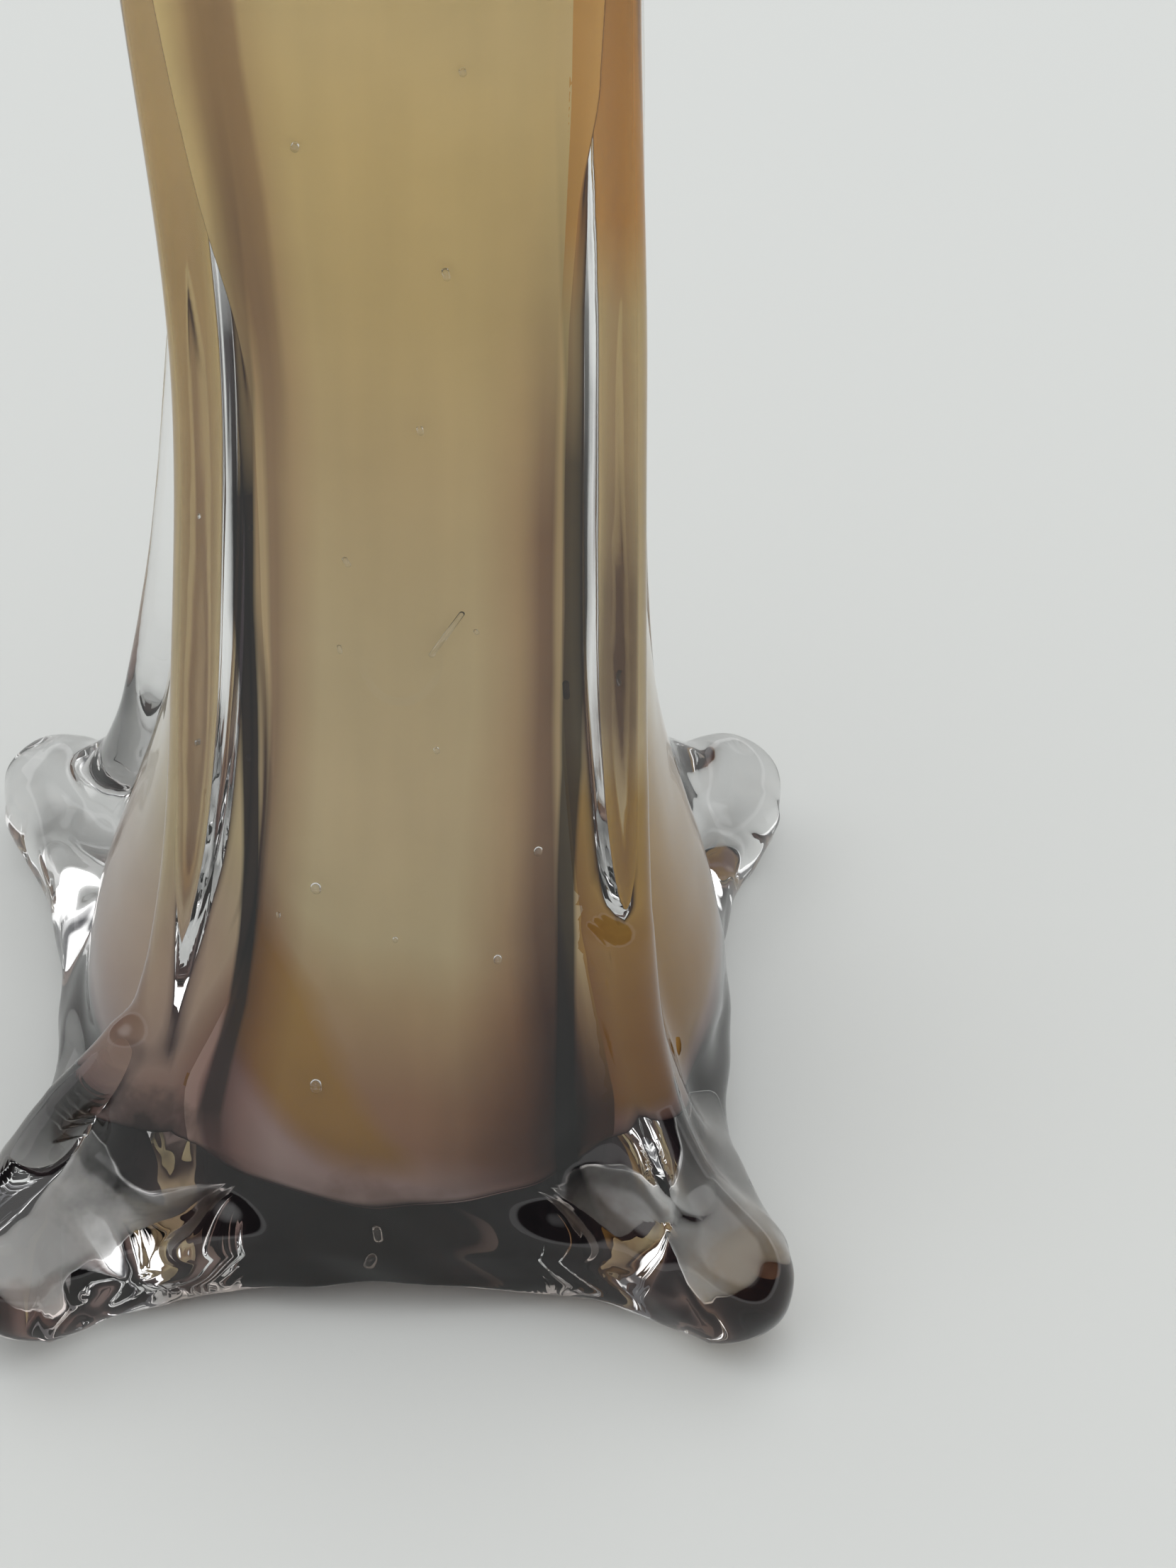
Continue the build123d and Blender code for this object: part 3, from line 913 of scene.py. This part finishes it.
# %% The opal core
# The core's colours by height are painted light: lighter and yellower towards the top, where light from above
# shines down through the translucent opal.
core_tone_and_light = [(24, (0.42, 0.33, 0.22)), (120, (0.62, 0.5, 0.3)), (299, (0.74, 0.62, 0.38))]
core_cloud = (0.8, 0.7, 0.5)
core_material, shader = plain_principled("opal_glass", (0.5, 0.4, 0.24), 0.22)
tree = core_material.node_tree
place, x, y, z = place_on(tree)
cloud = times(noise(place, 40.0, stretch=(1.0, 1.0, 0.35), detail=3.0), 0.5)
tone_and_light_by_height = by_height(times(z, 1000.0), core_tone_and_light)
put(blend(cloud, tone_and_light_by_height, core_cloud), shader.inputs["Base Color"])
waves = use_group(tree, drawn_waves, Extra=0.0, Depth=0.0003)
put(waves.outputs["Normal"], shader.inputs["Normal"])
core.data.materials.append(core_material)
print("material:", core_material.name)

# %% [markdown]
# The clear glass is nearly colourless, but most of the dark marks are painted on it. Near-black
# lines in the grooves beside the ribs are painted refraction: thick mauve glass seen edge on through
# the grooves. Crumbly brown low in the front of the base is painted shade: the shaded underside of
# the gathers seen through the base. The feet carry painted reflections of the gathers' colours in
# patches. One shallow pressed mark, a low arc, shows on the front panel. Faint waves bend what is
# seen through the glass.

# %% Marks in the clear glass
# Painted refraction lines, near black where the grooves show the mauve glass edge on: the side,
# the ratio of across to deep by height, the strength by height, half the width as a ratio, and the colour.
near_black = (0.002, 0.001, 0.0015)
painted_refraction_lines = [
    (-1.0,
     [(22, 0.665), (33, 0.69), (42, 0.675), (52, 0.65), (62, 0.66), (91, 0.735),
      (120, 0.785), (150, 0.79), (190, 0.78), (212, 0.8), (290, 0.82)],
     [(22, 0), (34, 0.9), (60, 1), (140, 1), (172, 0.4), (215, 0)],
     0.055, near_black),
    (-1.0,
     [(140, 0.68), (190, 0.7), (212, 0.74), (290, 0.76)],
     [(135, 0), (170, 0.6), (290, 0.5)],
     0.13, (0.42, 0.27, 0.29)),
    (1.0,
     [(20, 0.56), (38, 0.59), (62, 0.68), (91, 0.765), (120, 0.79), (150, 0.79),
      (212, 0.8), (290, 0.81)],
     [(17, 0), (24, 1), (145, 0.95), (185, 0.2), (215, 0)],
     0.06, near_black),
    (1.0,
     [(50, 0.84), (90, 0.9), (140, 0.93)],
     [(88, 0), (102, 0.8), (125, 0.8), (150, 0)],
     0.07, (0.12, 0.07, 0.07)),
]
# Painted reflections of the gathers in the feet and the base, as patches: the middle and the radius
# in millimetres, amount and colour.
painted_reflection_patches = [
    ((-33.5, -42.0, 33.0), 6.0, 0.96, (0.003, 0.002, 0.002)),
    ((-39.5, -46.0, 26.0), 5.5, 0.96, (0.003, 0.002, 0.002)),
    ((53.3, -56.7, 17.8), 10.0, 0.9, (0.72, 0.5, 0.28)),
    ((-47.9, -59.4, 10.3), 9.0, 0.8, (0.7, 0.52, 0.46)),
    ((-27.5, -45.8, 20.0), 6.0, 0.75, (0.42, 0.28, 0.24)),
    ((33, -49.8, 17.0), 7.0, 0.75, (0.52, 0.37, 0.3)),
    ((-0.4, -48.0, 15.9), 11.0, 0.8, (0.5, 0.42, 0.36)),
]
# The painted shade low in the base by height, which is the shaded brown underside of the gathers
# seen through the base, and its crumbs from dark to light.
under_shade_stops = [(0, 1), (8, 0.9), (13.5, 0)]
crumb_stops = [
    (0.3, (0.035, 0.02, 0.018)), (0.45, (0.1, 0.062, 0.05)),
    (0.56, (0.24, 0.165, 0.13)), (0.68, (0.62, 0.5, 0.42)),
]
# The pressed arc: its middle across and up, and its reach across and up, in metres.
mark_middle, mark_size = (0.0045, 0.1137), (0.0058, 0.0085)


def with_painted_under_shade(colour, place, x, y, z):
    """The colour with crumbly painted shade low in the front half of the base, most of it in the middle: the
    brown underside of the gathers, seen in shade through the base.
    """
    to_front = ramp(sloped(y, -10.0, 0.5), [(0.5, 0), (0.75, 1)])
    to_middle = ramp(times(maths("ABSOLUTE", x), 10.0), [(0.3, 1), (0.4, 0.3)])
    amount = times(by_height(times(z, 1000.0), under_shade_stops), to_front, to_middle)
    crumbs = noise(place, 85.0, stretch=(1.0, 1.0, 1.6), detail=4.0)
    return blend(amount, colour, ramp(crumbs, crumb_stops))


def with_painted_reflections(colour, place):
    """The colour with every painted reflection patch, whose borders are broken up by noise."""
    for centre, radius, amount, reflected_colour in painted_reflection_patches:
        apart = node_beside([place], "ShaderNodeVectorMath")
        apart.operation = "DISTANCE"
        put(place, apart.inputs[0])
        apart.inputs[1].default_value = [value / 1000 for value in centre]
        uneven = sloped(noise(place, 210.0, detail=3.0), 0.014, apart.outputs["Value"])
        stops = [(radius * 0.0007 + 0.007, amount), (radius * 0.001 + 0.007, 0.0)]
        colour = blend(ramp(uneven, stops), colour, reflected_colour, "MULTIPLY")
    return colour


def with_painted_refraction(colour):
    """The colour with every painted refraction line, each a band round its own line of ratios."""
    spot = use_group(colour.id_data, place_on_vase)
    ratio, high = spot.outputs["Ratio"], spot.outputs["High"]
    for side, path, strength, half_width, refraction_colour in painted_refraction_lines:
        away = maths("ABSOLUTE", minus(times(ratio, side), by_height(high, path)))
        line = ramp(away, [(0, 1), (half_width * 0.68, 1.0), (half_width, 0.0)])
        amount = times(line, by_height(high, strength))
        colour = blend(amount, colour, refraction_colour, "MULTIPLY")
    return colour


def pressed_arc(x, y, z):
    """The lower half of a ring on the front panel: 1 on its line and 0 away from it."""
    across = maths("DIVIDE", minus(x, mark_middle[0]), mark_size[0])
    up = maths("DIVIDE", minus(z, mark_middle[1]), mark_size[1])
    squares = maths("ADD", maths("POWER", across, 2.0), maths("POWER", up, 2.0))
    off_ring = maths("ABSOLUTE", minus(maths("SQRT", squares), 1.0))
    line = ramp(off_ring, [(0, 1), (0.18, 0)])
    lower_half = ramp(sloped(up, -0.5, 0.5), [(0.45, 0), (0.75, 1)])
    return times(line, maths("LESS_THAN", y, -0.01), lower_half)


# %% The clear glass
clear_glass, shader = plain_principled("clear_crystal", (1, 1, 1), 0.0)
shader.inputs["IOR"].default_value = 1.52
shader.inputs["Transmission Weight"].default_value = 1.0
tree = clear_glass.node_tree
place, x, y, z = place_on(tree)
colour = ramp(noise(place, 30.0), [(0.3, white), (0.7, (0.972, 0.975, 0.97))])
colour = with_painted_under_shade(colour, place, x, y, z)
colour = with_painted_reflections(colour, place)
colour = with_painted_refraction(colour)
put(colour, shader.inputs["Base Color"])
pressed = times(pressed_arc(x, y, z), -4.0)
waves = use_group(tree, drawn_waves, Extra=pressed, Depth=0.00012)
put(waves.outputs["Normal"], shader.inputs["Normal"])
crystal.data.materials.clear()
crystal.data.materials.append(clear_glass)
print("clear glass:", len(painted_refraction_lines), "veins and", len(painted_reflection_patches), "patches")

# %% [markdown]
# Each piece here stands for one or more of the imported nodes. The clear body stands for ten of
# them, because the casing, the base, the ribs and the feet of the real vase are one glass.

# %% The pieces stand for these nodes
corners = ("front_left", "front_right", "back_right", "back_left")
drawn_nodes = [kind + "_" + corner for kind in ("rib", "foot") for corner in corners]
for piece, nodes, slot in (
    (crystal, ["clear_casing", "clear_base"] + drawn_nodes, "clear_crystal"),
    (gather, ["amethyst_layer"], "amethyst_glass"),
    (swirl_front, ["amber_swirl_front"], "amber_glass"),
    (swirl_right, ["amber_swirl_right"], "amber_glass"),
    (swirl_shoulder, ["amber_swirl_shoulder"], "amber_glass"),
    (core, ["opal_core"], "opal_glass"),
):
    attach(piece, "root")
    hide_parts(*nodes)
    print(piece.name, "stands for", len(nodes), "nodes")

# %% [markdown]
# The vase stands on a pale table under a bright sky. Clear glass shows mostly what is round it, so
# the sky has a dark band low down, which gives the ribs and feet their dark lines.

# %% The floor and the light
half = 4.0
floor_mesh = bpy.data.meshes.new("floor")
square = [(-half, -half, 0), (half, -half, 0), (half, half, 0), (-half, half, 0)]
floor_mesh.from_pydata(square, [], [(0, 1, 2, 3)])
floor = bpy.data.objects.new("floor", floor_mesh)
bpy.context.scene.collection.objects.link(floor)
floor_material, shader = plain_principled("pale_table", (0.595, 0.612, 0.6), 0.7)
shader.inputs["Specular IOR Level"].default_value = 0.1
floor_mesh.materials.append(floor_material)

world = bpy.data.worlds.new("studio")
bpy.context.scene.world = world
world.use_nodes = True
tree = world.node_tree
sky = tree.nodes["Background"]
aim = tree.nodes.new("ShaderNodeTexCoord")
aim_parts = tree.nodes.new("ShaderNodeSeparateXYZ")
put(aim.outputs["Generated"], aim_parts.inputs[0])
dark_band = (0.06, 0.06, 0.065)
sky_stops = [(0, 0.75), (0.08, 0.7), (0.13, dark_band), (0.5, dark_band), (0.64, white), (1, white)]
put(ramp(aim_parts.outputs["Z"], sky_stops), sky.inputs["Color"])
sky.inputs["Strength"].default_value = 1.7
print("floor:", 2 * half, "m wide")

# %% [markdown]
# The camera was found by fitting the four foot tips. It looks down at 43 degrees from 1.1 m. The
# middle of the base shows in the photo at a known place, left of the photo's middle and lower.

# %% The camera
picture_height, focal_px, distance = 2212, 9.43 * 1100, 1.10
middle_px, base_px = (829.5, 1106), (546.6, 1524.0)
tilt, sensor = math.radians(43.0), 36.0
forward = np.array([0.0, math.cos(tilt), -math.sin(tilt)])
right = np.array([1.0, 0.0, 0.0])
up = np.cross(right, forward)
to_right, down = (base_px[0] - middle_px[0]) / focal_px, (base_px[1] - middle_px[1]) / focal_px
line = forward + right * to_right - up * down
camera_data = bpy.data.cameras.new("camera")
camera = bpy.data.objects.new("camera", camera_data)
bpy.context.scene.collection.objects.link(camera)
bpy.context.scene.camera = camera
camera.location = (-line * distance).tolist()
camera.rotation_euler = (math.pi / 2 - tilt, 0, 0)
camera_data.sensor_fit = "VERTICAL"
camera_data.sensor_height = sensor
camera_data.lens = focal_px / picture_height * sensor
camera_data.clip_end = 100.0
bpy.context.scene.view_settings.view_transform = "Standard"
print("lens:", round(camera_data.lens, 1), "mm")
